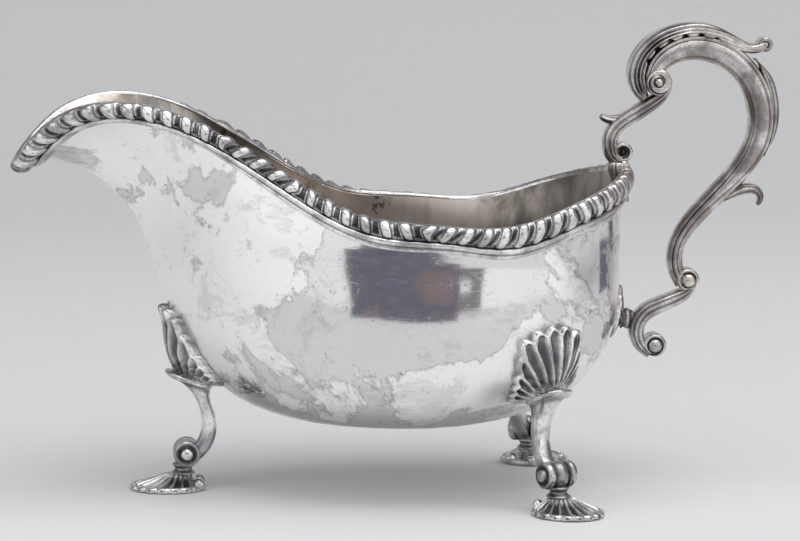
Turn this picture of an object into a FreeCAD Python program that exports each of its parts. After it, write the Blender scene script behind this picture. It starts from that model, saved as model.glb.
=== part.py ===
import FreeCAD, Part
import math
import os

# Silver sauce boat: a raised bowl with a pouring lip, a gadrooned rim, a double
# scroll handle with acanthus leaves, and three shell feet on cabriole legs.
# Millimetres.  X runs from the lip (-X) to the handle (+X), Z is up, and the
# three feet stand on Z = 0.  The piece is symmetric about the plane Y = 0.

Vec = FreeCAD.Vector

# ---------------------------------------------------------------- dimensions
WALL = 1.2               # sheet of the bowl
COLUMNS = 12             # half loops of the bowl have COLUMNS + 1 control points

# Level loops of the bowl, from the middle of the bottom upwards:
# front x, front z, rear x, rear z, half width, side z, x of the widest place,
# pointedness of the front, pointedness of the rear
BOWL_LOOPS = [
    (-14.0, 17.8, 14.0, 17.8, 8.0, 17.8, 2.0, 1.00, 0.95),
    (-37.6, 19.9, 36.8, 20.6, 25.6, 19.2, 4.0, 1.05, 0.95),
    (-52.9, 32.2, 54.0, 29.0, 39.4, 27.4, 7.0, 1.15, 0.90),
    (-61.6, 49.2, 62.4, 46.0, 44.6, 46.0, 9.0, 1.30, 0.85),
    (-67.4, 67.6, 62.1, 66.0, 42.4, 63.5, 10.0, 1.45, 0.85),
]
# Directions, in degrees from the lip, at which the level loops have their points
LOOP_ANGLES = [0, 8, 17, 27, 38, 50, 62, 76, 92, 110, 130, 153, 180]
# The rim, from the tip of the lip to the handle
RIM = [
    (-103.4, 0.0, 86.6), (-100.9, 6.8, 91.2), (-92.5, 13.6, 101.4), (-79.5, 19.2, 106.6),
    (-62.0, 21.6, 105.2), (-44.0, 23.6, 96.4), (-28.0, 28.4, 85.2), (-12.0, 37.6, 76.6),
    (5.0, 42.8, 76.6), (26.0, 43.0, 73.6), (44.0, 38.4, 80.6), (57.4, 23.6, 85.4),
    (63.0, 0.0, 88.4),
]
# Share of the way out and of the way up, from the last loop to the rim
LIP_RISE = [(0.10, 0.44), (0.36, 0.89), (0.68, 1.12)]
SIDE_RISE = [(0.00, 0.25), (0.14, 0.50), (0.48, 0.76)]
LIP_SHARE = [1.0, 0.85, 0.55, 0.28, 0.12, 0.04]

# Sections along the rim: distance out from the wall, distance down from the edge
GADROON_SECTION = [
    (0.1, -0.5), (0.9, -0.9), (1.9, -0.4), (2.6, 1.0), (2.8, 2.6), (2.5, 4.1), (1.6, 5.2), (0.1, 5.5),
    (0.1, 4.3), (0.1, 3.1), (0.1, 1.9), (0.1, 0.7),
]
WIRE_SECTION = [(0.1, 5.6), (0.9, 5.6), (1.5, 6.2), (1.5, 7.0), (0.9, 7.6), (0.1, 7.6), (0.1, 6.6)]
RIM_STATIONS = 72
WALL_STEP = 0.005

# Handle: centre line (x, z), half thickness in the plane of the handle, half depth
MAIN_SCROLL = [
    (68.6, 111.6, 2.2, 3.4), (69.2, 114.8, 2.5, 3.5), (72.6, 118.4, 2.9, 3.7), (78.6, 120.4, 3.3, 3.9),
    (85.0, 119.8, 3.4, 4.0), (91.2, 116.4, 3.3, 4.0), (96.2, 110.6, 3.2, 3.9), (98.6, 103.2, 3.2, 3.8),
    (98.2, 96.0, 3.0, 3.6), (95.2, 89.6, 2.7, 3.4), (90.0, 83.4, 2.5, 3.3), (83.4, 77.0, 2.3, 3.2),
    (77.6, 70.6, 2.1, 3.1), (75.0, 64.4, 2.0, 3.0), (75.6, 59.2, 2.0, 3.0), (77.6, 56.4, 1.9, 3.0),
]
UPPER_EYE = (70.6, 110.6, 3.3, 4.2)        # x, z, radius, half depth
LOWER_EYE = (79.0, 57.1, 3.0, 3.6)
UPPER_SCROLL = [
    (70.6, 106.4, 2.4, 3.0), (67.4, 104.0, 1.9, 3.0), (63.4, 101.4, 1.9, 2.9), (60.2, 99.6, 2.0, 2.8),
    (57.8, 97.0, 2.0, 2.8), (57.0, 93.2, 1.9, 2.9), (58.2, 89.9, 1.9, 3.0), (60.2, 89.3, 1.5, 3.0),
]
UPPER_SCROLL_EYE = (60.8, 91.7, 2.6, 3.4)
SPUR = [
    (60.6, 100.6, 1.2, 2.2), (58.0, 100.6, 0.9, 2.0), (56.2, 100.7, 0.6, 1.6), (54.9, 101.2, 0.35, 1.0),
]
LOWER_SCROLL = [
    (79.7, 54.6, 1.4, 3.0), (77.2, 52.4, 1.9, 3.0), (72.4, 50.4, 2.0, 3.0), (67.8, 48.6, 2.1, 3.0),
    (65.4, 45.4, 2.1, 3.0), (65.0, 41.6, 2.0, 3.0), (66.4, 38.6, 1.6, 2.9), (68.8, 37.0, 1.2, 2.9),
]
LOWER_SCROLL_EYE = (70.3, 39.3, 3.0, 3.5)
LEAF_CAP = [
    (66.4, 106.2, 1.2, 3.4), (64.2, 109.0, 2.0, 4.4), (63.8, 113.4, 2.1, 4.9), (65.6, 118.2, 2.0, 5.1),
    (69.6, 122.2, 1.9, 5.1), (75.4, 124.6, 1.8, 5.0), (82.0, 124.8, 1.8, 4.8), (88.4, 122.6, 1.7, 4.4),
    (93.2, 119.8, 1.3, 3.8), (96.4, 119.4, 1.2, 3.4), (98.8, 120.6, 1.3, 3.0),
]
LEAF_CURL = (99.0, 120.9, 1.4, 3.2)
BACK_LEAF = [
    (96.4, 117.0, 0.5, 2.2), (99.6, 113.0, 1.1, 3.0), (101.4, 107.6, 1.3, 3.2), (101.9, 102.0, 1.3, 3.2),
    (101.4, 96.6, 1.2, 3.0), (99.2, 90.6, 0.6, 2.2),
]
LOWER_SPUR = [
    (88.2, 79.0, 0.8, 2.4), (92.0, 81.4, 1.5, 2.4), (95.8, 82.2, 1.4, 2.2), (98.4, 81.0, 1.2, 2.0),
    (98.9, 78.8, 0.9, 1.8), (98.0, 77.6, 0.5, 1.4),
]
BRACKET_PROFILE = [                        # inner x, outer x, z of the bracket over the rim
    (60.4, 62.4, 78.6), (59.8, 62.4, 80.0), (58.4, 62.6, 84.0), (57.0, 62.8, 88.0),
    (57.0, 62.8, 90.0),
]
BRACKET_HALF_WIDTH = 4.4
NECK = (59.9, 88.2, 1.9, 3.2)              # x, foot z, radius, height
BOSS_X = (60.0, 64.4)
BOSS_Z = 46.4
BOSS_RADIUS = 2.9
PLATE_CENTRE_Z = 47.6
PLATE_HALF_HEIGHT = 7.3
PLATE_HALF_WIDTH = 5.2
PLATE_THICKNESS = 2.3
PLATE_NEAR_X = 62.0

# Legs: name, place of the knuckle roll (x, y), direction of the foot in degrees,
# how far the top of the leg leans back from the foot
LEGS = [
    ("front", -56.2, 0.0, 180.0, 0.0),
    ("left", 40.0, 36.8, 60.0, 3.4),
    ("right", 40.0, -36.8, -60.0, 3.4),
]
# Cabriole scroll of a leg: outer edge (out from the knuckle, z), inner edge, half depth
LEG_SCROLL = [
    (4.6, 31.8, -5.6, 28.6, 3.0), (3.0, 30.4, -5.6, 27.4, 3.0), (0.0, 28.4, -5.7, 25.6, 2.9),
    (-2.2, 25.6, -6.3, 23.2, 2.6), (-3.8, 21.8, -7.5, 20.4, 2.2), (-4.4, 17.6, -8.0, 16.8, 2.0),
    (-3.6, 14.2, -7.3, 12.8, 2.0), (-2.2, 12.2, -5.2, 9.6, 2.1), (-0.4, 11.0, -2.4, 7.6, 2.2),
]
KNUCKLE_Z = 10.1
KNUCKLE_RADIUS = 3.7
KNUCKLE_HALF_LENGTH = 4.6
BUTTON_RADIUS = 2.4
BUTTON_HALF_LENGTH = 5.6
ANKLE_OUT = 0.9
ANKLE_TOP = 7.4
ANKLE_RADII = (3.3, 2.2)
FOOT_HEEL = -5.2                           # out from the knuckle
FOOT_TOE = 15.2
FOOT_HALF_WIDTH = 9.2
FOOT_HEIGHT = 4.6
FOOT_RAYS = 9
FOOT_SCALLOP = 0.055
FOOT_RIB = 0.12
FOOT_POINTS = 72
FOOT_PROFILE = [                           # share of the outline, share of the height
    (0.96, 0.0), (1.0, 0.12), (1.0, 0.42), (0.86, 0.74), (0.66, 0.95), (0.5, 1.0), (0.3, 1.0), (0.0, 1.0),
]
SHELL_RAYS = 9
SHELL_CENTRE_Z = 31.0                      # place on the bowl that the rays start from
SHELL_RADIUS_UP = 19.0
SHELL_RADIUS_DOWN = 3.6
SHELL_HALF_WIDTH = 10.0
SHELL_THICKNESS = 2.4                      # at the edge
SHELL_DEPTH = 8.6                          # at the hinge, where it meets the leg
SHELL_LEAN_SHARE = 0.8                     # a leg that leans back needs less depth
SHELL_SCALLOP = 0.05
SHELL_RIB = 0.16
SHELL_CENTRE_OUT = -4.0
PATCH_POINTS = 72
PATCH_SHARES = [0.3, 0.6, 0.85, 1.0]
PATCH_BED = -0.1                          # clearance between a plate and the bowl
BOWL_MIDDLE_X = 0.0


# ------------------------------------------------------------------ geometry
SAME_POINT = 1e-6                          # closer than this, two points are one
EDGE_RUN = 0.2                             # length of wall that gives its direction at the rim


def clamped(count):
    """Knots and multiplicities of a cubic with free ends and this many poles."""
    spans = count - 3
    return [float(k) for k in range(spans + 1)], [4] + [1] * (spans - 1) + [4]


def ring_surface(rings):
    """Cubic surface through a stack of closed rings of control points."""
    around = len(rings[0])
    poles = [[ring[i] for ring in rings] for i in range(around)]
    along_knots, along_mults = clamped(len(rings))
    surface = Part.BSplineSurface()
    surface.buildFromPolesMultsKnots(
        poles, [1] * (around + 1), along_mults,
        [float(k) for k in range(around + 1)], along_knots, True, False, 3, 3)
    return surface


def closed_solid(faces):
    """One solid from faces that share their edges."""
    shell = Part.makeShell(faces)
    if len(faces) > 1:
        shell.sewShape()
    solid = Part.makeSolid(shell)
    if solid.Volume < 0:
        solid.reverse()
    return solid


def ring_solid(rings):
    """Solid inside a stack of rings.  Flat end rings get flat caps."""
    surface = ring_surface(rings)
    faces = [surface.toShape()]
    first, last = surface.bounds()[2:]
    for end, ring in ((first, rings[0]), (last, rings[-1])):
        if (ring[0] - ring[len(ring) // 2]).Length > SAME_POINT:
            faces.append(Part.Face(Part.Wire([surface.vIso(end).toShape()])))
    return closed_solid(faces)


def biggest(shape):
    """The largest solid of a boolean result."""
    return max(shape.Solids, key=lambda solid: solid.Volume)


def bar(stations, place):
    """Solid bar between two edge lines in the plane of `place`, with round-cornered sections."""
    rings = []
    for out_1, z_1, out_2, z_2, deep in stations:
        middle = ((out_1 + out_2) / 2, (z_1 + z_2) / 2)
        half = ((out_1 - out_2) / 2, (z_1 - z_2) / 2)
        rings.append([
            place(middle[0] + half[0] * a, b * deep, middle[1] + half[1] * a) for a, b in SECTION])
    return ring_solid(rings)


def scroll(stations, place):
    """Solid bar along a centre line in the plane of `place`."""
    edges = []
    last = len(stations) - 1
    for k, (out, z, thick, deep) in enumerate(stations):
        before = stations[max(k - 1, 0)]
        after = stations[min(k + 1, last)]
        run = math.hypot(after[0] - before[0], after[1] - before[1])
        side = ((after[1] - before[1]) / run * thick, -(after[0] - before[0]) / run * thick)
        edges.append((out + side[0], z + side[1], out - side[0], z - side[1], deep))
    return bar(edges, place)


# Square-cornered section of the bracket over the rim
BLOCK = [
    (1, -0.5), (1, 0.5), (1, 1), (1, 1), (-1, 1), (-1, 1), (-1, 0.5), (-1, -0.5), (-1, -1), (-1, -1),
    (1, -1), (1, -1),
]
# Round-cornered section of every scroll: shares of half thickness and half depth
SECTION = [
    (1.15, -0.5), (1.15, 0.5), (0.85, 1.05), (0.3, 1.15), (-0.3, 1.15), (-0.85, 1.05),
    (-1.15, 0.5), (-1.15, -0.5), (-0.85, -1.05), (-0.3, -1.15), (0.3, -1.15), (0.85, -1.05),
]


def handle_place(x, y, z):
    """The handle lies in the plane Y = 0."""
    return Vec(x, y, z)


def leg_place(leg):
    """Place in the frame of one leg: out along the foot, across, up."""
    x, y, heading = leg[1:4]
    cos_h = math.cos(math.radians(heading))
    sin_h = math.sin(math.radians(heading))

    def place(out, across, z):
        return Vec(x + out * cos_h - across * sin_h, y + out * sin_h + across * cos_h, z)
    return place


def leaned(stations, lean):
    """The edges of a leg's scroll, drawn back in proportion to their height."""
    def back(z):
        return lean * max(z - KNUCKLE_Z, 0) / (SHELL_CENTRE_Z - KNUCKLE_Z)
    return [(out_1 - back(z_1), z_1, out_2 - back(z_2), z_2, deep)
            for out_1, z_1, out_2, z_2, deep in stations]


def drum(place, out, z, radius, half_length):
    """Round bar across the plane of `place`."""
    start = place(out, -half_length, z)
    end = place(out, half_length, z)
    return Part.makeCylinder(radius, 2 * half_length, start, end - start)


# ---------------------------------------------------------------------- bowl
def level_loop(front, front_z, rear, rear_z, half_width, side_z, widest, front_power, rear_power):
    """Half of one level loop of the bowl, from the lip to the handle."""
    points = []
    for angle in LOOP_ANGLES:
        turn = math.radians(angle)
        cos_t = math.cos(turn)
        sin_t = max(math.sin(turn), 0.0)
        if angle == 180:
            sin_t = 0.0
        if cos_t >= 0:
            points.append(Vec(widest - (widest - front) * cos_t, half_width * sin_t ** front_power,
                              side_z + (front_z - side_z) * cos_t ** 2))
        else:
            points.append(Vec(widest - (rear - widest) * cos_t, half_width * sin_t ** rear_power,
                              side_z + (rear_z - side_z) * cos_t ** 2))
    return points


def rising_loop(lower, rim, level):
    """Half loop between the last level loop and the rim."""
    points = []
    for k in range(COLUMNS + 1):
        share = LIP_SHARE[k] if k < len(LIP_SHARE) else 0.0
        out = share * LIP_RISE[level][0] + (1 - share) * SIDE_RISE[level][0]
        up = share * LIP_RISE[level][1] + (1 - share) * SIDE_RISE[level][1]
        step = rim[k] - lower[k]
        points.append(lower[k] + Vec(step.x * out, step.y * out, step.z * up))
    return points


def whole_loop(half):
    """Mirror a half loop in Y = 0 to a closed one."""
    mirrored = [Vec(p.x, -p.y, p.z) for p in half[-2:0:-1]]
    return half + mirrored


def bowl_rings():
    """Control rings of the outside of the bowl, bottom to rim."""
    halves = [level_loop(*loop) for loop in BOWL_LOOPS]
    rim = [Vec(*point) for point in RIM]
    halves += [rising_loop(halves[len(BOWL_LOOPS) - 1], rim, level) for level in range(len(LIP_RISE))]
    halves.append(rim)
    return [whole_loop(half) for half in halves]


def inset_rings(rings, depth):
    """Rings moved inwards, square to their own surface."""
    around = len(rings[0])
    moved = []
    for j, ring in enumerate(rings):
        lower = rings[max(j - 1, 0)]
        upper = rings[min(j + 1, len(rings) - 1)]
        new_ring = []
        for i in range(around):
            along = ring[(i + 1) % around] - ring[i - 1]
            up = upper[i] - lower[i]
            if j == 0:
                inward = Vec(0, 0, 1)
            else:
                inward = along.cross(up)
            new_ring.append(ring[i] + inward.normalize() * depth)
        moved.append(new_ring)
    return moved


def bowl(outside):
    """The sheet: out along the outside, over the rim, down the inside."""
    inside = inset_rings(outside, WALL)
    return ring_solid(outside + [outside[-1], inside[-1]] + inside[::-1])


def bowl_skin(outside):
    """The outer surface alone, for placing what is soldered to it."""
    return ring_surface(outside)


# ----------------------------------------------------------------------- rim
def rim_strip(skin, section):
    """Moulding along the left side of the rim, from the tip of the lip to the handle."""
    period = skin.bounds()[1]
    edge_v = skin.bounds()[3]
    rings = []
    for k in range(RIM_STATIONS + 1):
        u = (COLUMNS * k / RIM_STATIONS - 1) % period
        ring = []
        for out, down in section:
            v = wall_parameter(skin, u, down)
            normal = skin_normal(skin, u, v)
            above = Vec(0, 0, 0)
            if down < 0:
                above = (skin.value(u, edge_v) - skin.value(u, edge_v - EDGE_RUN)).normalize() * -down
            point = skin.value(u, v) + normal * out + above
            if k in (0, RIM_STATIONS):
                point.y = 0
            ring.append(point)
        rings.append(ring)
    return ring_solid(rings)


def wall_parameter(skin, u, down):
    """Where the wall has run `down` from the rim, measured along the wall."""
    v = skin.bounds()[3]
    walked = 0
    point = skin.value(u, v)
    while walked < down:
        v -= WALL_STEP
        lower = skin.value(u, v)
        walked += (lower - point).Length
        point = lower
    return v


def mirrored(shape):
    """The same piece on the other side of the boat."""
    return shape.mirror(Vec(0, 0, 0), Vec(0, 1, 0))


# -------------------------------------------------------------------- handle
def handle_main_scroll():
    """The great C of the handle with a volute eye at each end."""
    eyes = [drum(handle_place, *eye) for eye in (UPPER_EYE, LOWER_EYE)]
    return scroll(MAIN_SCROLL, handle_place).fuse(eyes)


def handle_end_scroll(stations, eye):
    """A smaller scroll that ends in one volute eye."""
    return scroll(stations, handle_place).fuse(drum(handle_place, *eye))


def handle_bracket():
    """Tab inside the rim that the handle's neck stands on."""
    rings = []
    for x_in, x_out, z in BRACKET_PROFILE:
        rings.append([Vec(x_in if a < 0 else x_out, BRACKET_HALF_WIDTH * b, z) for a, b in BLOCK])
    x, z, radius, height = NECK
    neck = Part.makeCylinder(radius, height, Vec(x, 0, z))
    return ring_solid(rings).fuse(neck)


def handle_boss():
    """Short round bar between the plate on the bowl and the lower scroll."""
    length = BOSS_X[1] - BOSS_X[0]
    return Part.makeCylinder(BOSS_RADIUS, length, Vec(BOSS_X[0], 0, BOSS_Z), Vec(1, 0, 0))


# ------------------------------------------------- plates soldered to the bowl
def patch(skin, centre, across, outline, thickness):
    """Plate that lies on the bowl round `centre` and stands out square to `across`.

    outline(turn) gives the reach of the plate in the direction `turn`, which is
    measured from straight up, and thickness(turn, share) its rise off the bowl.
    """
    level_out = across.cross(Vec(0, 0, 1))
    u, v = skin.parameter(centre)
    foot = skin.value(u, v)
    out = skin_normal(skin, u, v)
    up = out.cross(across)
    up.normalize()
    if up.z < 0:
        up = up * -1

    def raised(turn, share, rise):
        reach = outline(turn) * share
        flat = foot + across * (math.sin(turn) * reach) + up * (math.cos(turn) * reach)
        at_u, at_v = skin.parameter(flat)
        return skin.value(at_u, at_v) + level_out * rise - out * PATCH_BED

    turns = [2 * math.pi * k / PATCH_POINTS for k in range(PATCH_POINTS)]
    rings = [[raised(0, 0, thickness(0, 0))] * PATCH_POINTS]
    for share in PATCH_SHARES:
        rings.append([raised(turn, share, thickness(turn, share)) for turn in turns])
    rings.append([raised(turn, 1, thickness(turn, 1) / 2) for turn in turns])
    for share in [1] + PATCH_SHARES[::-1]:
        rings.append([raised(turn, share, 0) for turn in turns])
    rings.append([raised(0, 0, 0)] * PATCH_POINTS)
    return ring_solid(rings)


def skin_normal(skin, u, v):
    """Outward normal of the bowl."""
    normal = skin.normal(u, v)
    point = skin.value(u, v)
    if normal.x * (point.x - BOWL_MIDDLE_X) + normal.y * point.y < 0:
        normal = normal * -1
    return normal.normalize()


def shell_outline(turn):
    """Reach of the scallop shell: a fan above its hinge, a short tail below."""
    up = 0.5 + 0.5 * math.cos(turn)
    reach = SHELL_RADIUS_DOWN + (SHELL_RADIUS_UP - SHELL_RADIUS_DOWN) * up ** 0.8
    side = abs(math.sin(turn))
    if side > 0:
        reach = min(reach, SHELL_HALF_WIDTH / side)
    return reach * (1 + SHELL_SCALLOP * up * math.cos(SHELL_RAYS * 2 * turn))


def shell_rise(turn, share, depth):
    """Thickness of the shell, with a rib along every ray."""
    up = 0.5 + 0.5 * math.cos(turn)
    flat = depth + (SHELL_THICKNESS - depth) * share
    return flat * (1 + SHELL_RIB * share * up * math.cos(SHELL_RAYS * 2 * turn))


def plate_outline(turn):
    """Oval plate behind the lower end of the handle."""
    return 1 / math.hypot(math.sin(turn) / PLATE_HALF_WIDTH, math.cos(turn) / PLATE_HALF_HEIGHT)


# ---------------------------------------------------------------------- legs
def leg_shell(skin, leg):
    """Scallop shell where the leg meets the bowl."""
    place = leg_place(leg)
    across = place(0, 1, 0) - place(0, 0, 0)
    depth = SHELL_DEPTH - SHELL_LEAN_SHARE * leg[4]
    return patch(skin, place(SHELL_CENTRE_OUT, 0, SHELL_CENTRE_Z), across, shell_outline,
                 lambda turn, share: shell_rise(turn, share, depth))


def leg_knuckle(leg):
    """Roll that the leg curls round, with a button on each end."""
    place = leg_place(leg)
    roll = drum(place, 0, KNUCKLE_Z, KNUCKLE_RADIUS, KNUCKLE_HALF_LENGTH)
    return roll.fuse(drum(place, 0, KNUCKLE_Z, BUTTON_RADIUS, BUTTON_HALF_LENGTH))


def leg_ankle(leg):
    """Tapered collar between the knuckle and the foot."""
    place = leg_place(leg)
    return Part.makeCone(ANKLE_RADII[0], ANKLE_RADII[1], ANKLE_TOP - FOOT_HEIGHT,
                         place(ANKLE_OUT, 0, FOOT_HEIGHT))


def leg_foot(leg):
    """Scallop shell lying on the table, flat underneath."""
    place = leg_place(leg)
    middle = (FOOT_TOE + FOOT_HEEL) / 2
    half_length = (FOOT_TOE - FOOT_HEEL) / 2
    rings = []
    for share, rise in FOOT_PROFILE:
        ring = []
        for k in range(FOOT_POINTS):
            turn = 2 * math.pi * k / FOOT_POINTS
            toe_side = 0.5 + 0.5 * math.cos(turn)
            rib = toe_side * math.cos(FOOT_RAYS * 2 * turn)
            reach = share * (1 + FOOT_SCALLOP * rib)
            out = ANKLE_OUT + (middle + half_length * math.cos(turn) - ANKLE_OUT) * reach
            ring.append(place(out, FOOT_HALF_WIDTH * math.sin(turn) * reach,
                              rise * FOOT_HEIGHT * (1 + FOOT_RIB * rib * share)))
        rings.append(ring)
    return ring_solid(rings)


# ------------------------------------------------------------------ assembly
def rim_parts(skin):
    """Gadrooned border and the plain wire under it, one strip for each side."""
    border = rim_strip(skin, GADROON_SECTION)
    wire = rim_strip(skin, WIRE_SECTION)
    return {
        "gadroon_border_left": border,
        "gadroon_border_right": mirrored(border),
        "rim_wire_left": wire,
        "rim_wire_right": mirrored(wire),
    }


def handle_parts(skin, bowl_solid, rim):
    """The handle, cut where one piece is soldered to the next."""
    main_scroll = handle_main_scroll()
    upper = handle_end_scroll(UPPER_SCROLL, UPPER_SCROLL_EYE).cut(main_scroll)
    lower = handle_end_scroll(LOWER_SCROLL, LOWER_SCROLL_EYE).cut(main_scroll)
    leaf_cap = scroll(LEAF_CAP, handle_place).fuse(drum(handle_place, *LEAF_CURL))
    leaf_cap = leaf_cap.cut(main_scroll.fuse(upper))
    plate = patch(skin, Vec(PLATE_NEAR_X, 0, PLATE_CENTRE_Z), Vec(0, 1, 0), plate_outline,
                  lambda turn, share: PLATE_THICKNESS)
    borders = [rim["gadroon_border_left"], rim["gadroon_border_right"]]
    bracket = handle_bracket().cut([bowl_solid, upper] + borders)
    return {
        "handle_main_scroll": main_scroll,
        "handle_upper_scroll": biggest(upper),
        "handle_lower_scroll": biggest(lower),
        "handle_leaf_cap": biggest(leaf_cap),
        "handle_back_leaf": biggest(scroll(BACK_LEAF, handle_place).cut([main_scroll, leaf_cap])),
        "handle_thumb_spur": biggest(scroll(SPUR, handle_place).cut(upper)),
        "handle_lower_spur": biggest(scroll(LOWER_SPUR, handle_place).cut(main_scroll)),
        "handle_rim_bracket": biggest(bracket),
        "handle_lower_plate": plate,
        "handle_lower_boss": biggest(handle_boss().cut([plate, lower])),
    }


def leg_parts(skin, leg):
    """One leg: shell on the bowl, cabriole scroll, knuckle, ankle and foot."""
    shell = leg_shell(skin, leg)
    knuckle = leg_knuckle(leg)
    foot = leg_foot(leg)
    ankle = leg_ankle(leg).cut(knuckle)
    cabriole = bar(leaned(LEG_SCROLL, leg[4]), leg_place(leg)).cut([shell, knuckle])
    name = leg[0]
    return {
        name + "_leg_shell": shell,
        name + "_leg_scroll": biggest(cabriole),
        name + "_leg_knuckle": knuckle,
        name + "_leg_ankle": biggest(ankle),
        name + "_foot_shell": foot,
    }


def main():
    os.makedirs("parts", exist_ok=True)
    outside = bowl_rings()
    skin = bowl_skin(outside)
    parts = {"bowl": bowl(outside)}
    parts.update(rim_parts(skin))
    parts.update(handle_parts(skin, parts["bowl"], parts))
    for leg in LEGS:
        parts.update(leg_parts(skin, leg))
    for name, shape in parts.items():
        print(name, shape.isValid(), len(shape.Solids), round(shape.Volume, 1), shape.BoundBox)
        shape.exportStep("parts/" + name + ".step")


main()
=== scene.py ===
import math

import bpy
import numpy as np
from mathutils import Matrix, Vector
from mathutils.bvhtree import BVHTree


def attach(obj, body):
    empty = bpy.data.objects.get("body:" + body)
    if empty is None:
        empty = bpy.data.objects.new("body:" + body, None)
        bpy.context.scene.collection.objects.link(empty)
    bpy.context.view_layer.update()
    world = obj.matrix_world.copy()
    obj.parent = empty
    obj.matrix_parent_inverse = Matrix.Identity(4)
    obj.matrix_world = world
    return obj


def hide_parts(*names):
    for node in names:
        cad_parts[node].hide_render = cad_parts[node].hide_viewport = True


# The looks of the silver sauce boat.  The tables below are in millimetres: X from
# the lip (-X) to the handle (+X), Z up, feet on Z = 0.  Most are the part's own, so
# that each visible piece follows the CAD solid it replaces and adds its chasing.
# The S scrolls, upper spur, eyes, tab and leg tops differ a little at their ends.

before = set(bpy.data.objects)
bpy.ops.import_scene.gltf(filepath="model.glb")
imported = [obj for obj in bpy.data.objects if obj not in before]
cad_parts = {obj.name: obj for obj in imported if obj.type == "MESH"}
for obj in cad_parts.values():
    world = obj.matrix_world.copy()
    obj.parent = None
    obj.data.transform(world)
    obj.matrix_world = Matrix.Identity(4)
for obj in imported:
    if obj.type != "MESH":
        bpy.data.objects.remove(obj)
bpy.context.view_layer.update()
MM = 0.001

# ---------------------------------------------------------------------- tables
WALL = 1.2
BOWL_LOOPS = [
    (-14.0, 17.8, 14.0, 17.8, 8.0, 17.8, 2.0, 1.00, 0.95),
    (-37.6, 19.9, 36.8, 20.6, 25.6, 19.2, 4.0, 1.05, 0.95),
    (-52.9, 32.2, 54.0, 29.0, 39.4, 27.4, 7.0, 1.15, 0.90),
    (-61.6, 49.2, 62.4, 46.0, 44.6, 46.0, 9.0, 1.30, 0.85),
    (-67.4, 67.6, 62.1, 66.0, 42.4, 63.5, 10.0, 1.45, 0.85),
]
LOOP_ANGLES = [0, 8, 17, 27, 38, 50, 62, 76, 92, 110, 130, 153, 180]
LOOP_POINTS = 24                           # control points round it: 0 is the lip, 12 the handle
RIM = [
    (-103.4, 0.0, 86.6), (-100.9, 6.8, 91.2), (-92.5, 13.6, 101.4), (-79.5, 19.2, 106.6),
    (-62.0, 21.6, 105.2), (-44.0, 23.6, 96.4), (-28.0, 28.4, 85.2), (-12.0, 37.6, 76.6),
    (5.0, 42.8, 76.6), (26.0, 43.0, 73.6), (44.0, 38.4, 80.6), (57.4, 23.6, 85.4),
    (63.0, 0.0, 88.4),
]
LIP_RISE = [(0.10, 0.44), (0.36, 0.89), (0.68, 1.12)]
SIDE_RISE = [(0.00, 0.25), (0.14, 0.50), (0.48, 0.76)]
LIP_SHARE = [1.0, 0.85, 0.55, 0.28, 0.12, 0.04]
MOULDING = [
    (0.1, 5.5), (1.3, 5.4), (1.8, 5.9), (1.8, 6.7), (1.3, 7.3), (0.75, 7.45), (0.85, 7.8), (0.8, 8.5),
    (0.35, 8.8), (-0.2, 8.7), (-0.2, 7.0),
]
SECTION = [
    (1.15, -0.5), (1.15, 0.5), (0.85, 1.05), (0.3, 1.15), (-0.3, 1.15), (-0.85, 1.05),
    (-1.15, 0.5), (-1.15, -0.5), (-0.85, -1.05), (-0.3, -1.15), (0.3, -1.15), (0.85, -1.05),
]
MAIN_SCROLL = [
    (68.6, 111.6, 2.2, 3.4), (69.2, 114.8, 2.5, 3.5), (72.6, 118.4, 2.9, 3.7), (78.6, 120.4, 3.3, 3.9),
    (85.0, 119.8, 3.4, 4.0), (91.2, 116.4, 3.3, 4.0), (96.2, 110.6, 3.2, 3.9), (98.6, 103.2, 3.2, 3.8),
    (98.2, 96.0, 3.0, 3.6), (95.2, 89.6, 2.7, 3.4), (90.0, 83.4, 2.5, 3.3), (83.4, 77.0, 2.3, 3.2),
    (77.6, 70.6, 2.1, 3.1), (75.0, 64.4, 2.0, 3.0), (75.6, 59.2, 2.0, 3.0), (77.6, 56.4, 1.9, 3.0),
]
UPPER_EYE = (70.0, 110.6, 3.5, 4.2)        # x, z, radius, half width; beside its leaf
LOWER_EYE = (79.0, 57.1, 3.0, 3.6)
UPPER_SCROLL = [
    (73.3, 111.2, 0.5, 3.4), (73.1, 109.0, 0.9, 3.4), (71.6, 106.8, 1.6, 3.2), (67.6, 104.2, 1.9, 3.0),
    (63.4, 101.4, 1.9, 2.9), (60.2, 99.6, 2.0, 2.8), (57.8, 97.0, 2.0, 2.8), (57.0, 93.2, 1.9, 2.9),
    (58.2, 89.9, 1.9, 3.0), (60.2, 89.3, 1.5, 3.0),
]
UPPER_SCROLL_EYE = (60.8, 91.7, 2.6, 3.4)
SPUR = [
    (62.0, 100.6, 1.4, 2.2), (59.4, 100.2, 1.3, 2.0), (57.4, 100.2, 1.1, 1.8), (56.0, 100.6, 1.0, 1.6),
    (55.0, 101.2, 0.7, 1.2),
]
LOWER_SCROLL = [
    (81.4, 57.8, 0.4, 3.0), (81.1, 55.9, 0.8, 3.0), (79.6, 54.0, 1.4, 3.0), (77.0, 52.3, 1.8, 3.0),
    (72.4, 50.4, 2.0, 3.0), (67.8, 48.6, 2.1, 3.0), (65.4, 45.4, 2.1, 3.0), (65.0, 41.6, 2.0, 3.0),
    (66.4, 38.6, 1.6, 2.9), (68.8, 37.0, 1.2, 2.9),
]
LOWER_SCROLL_EYE = (70.3, 39.3, 3.0, 3.5)
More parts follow.
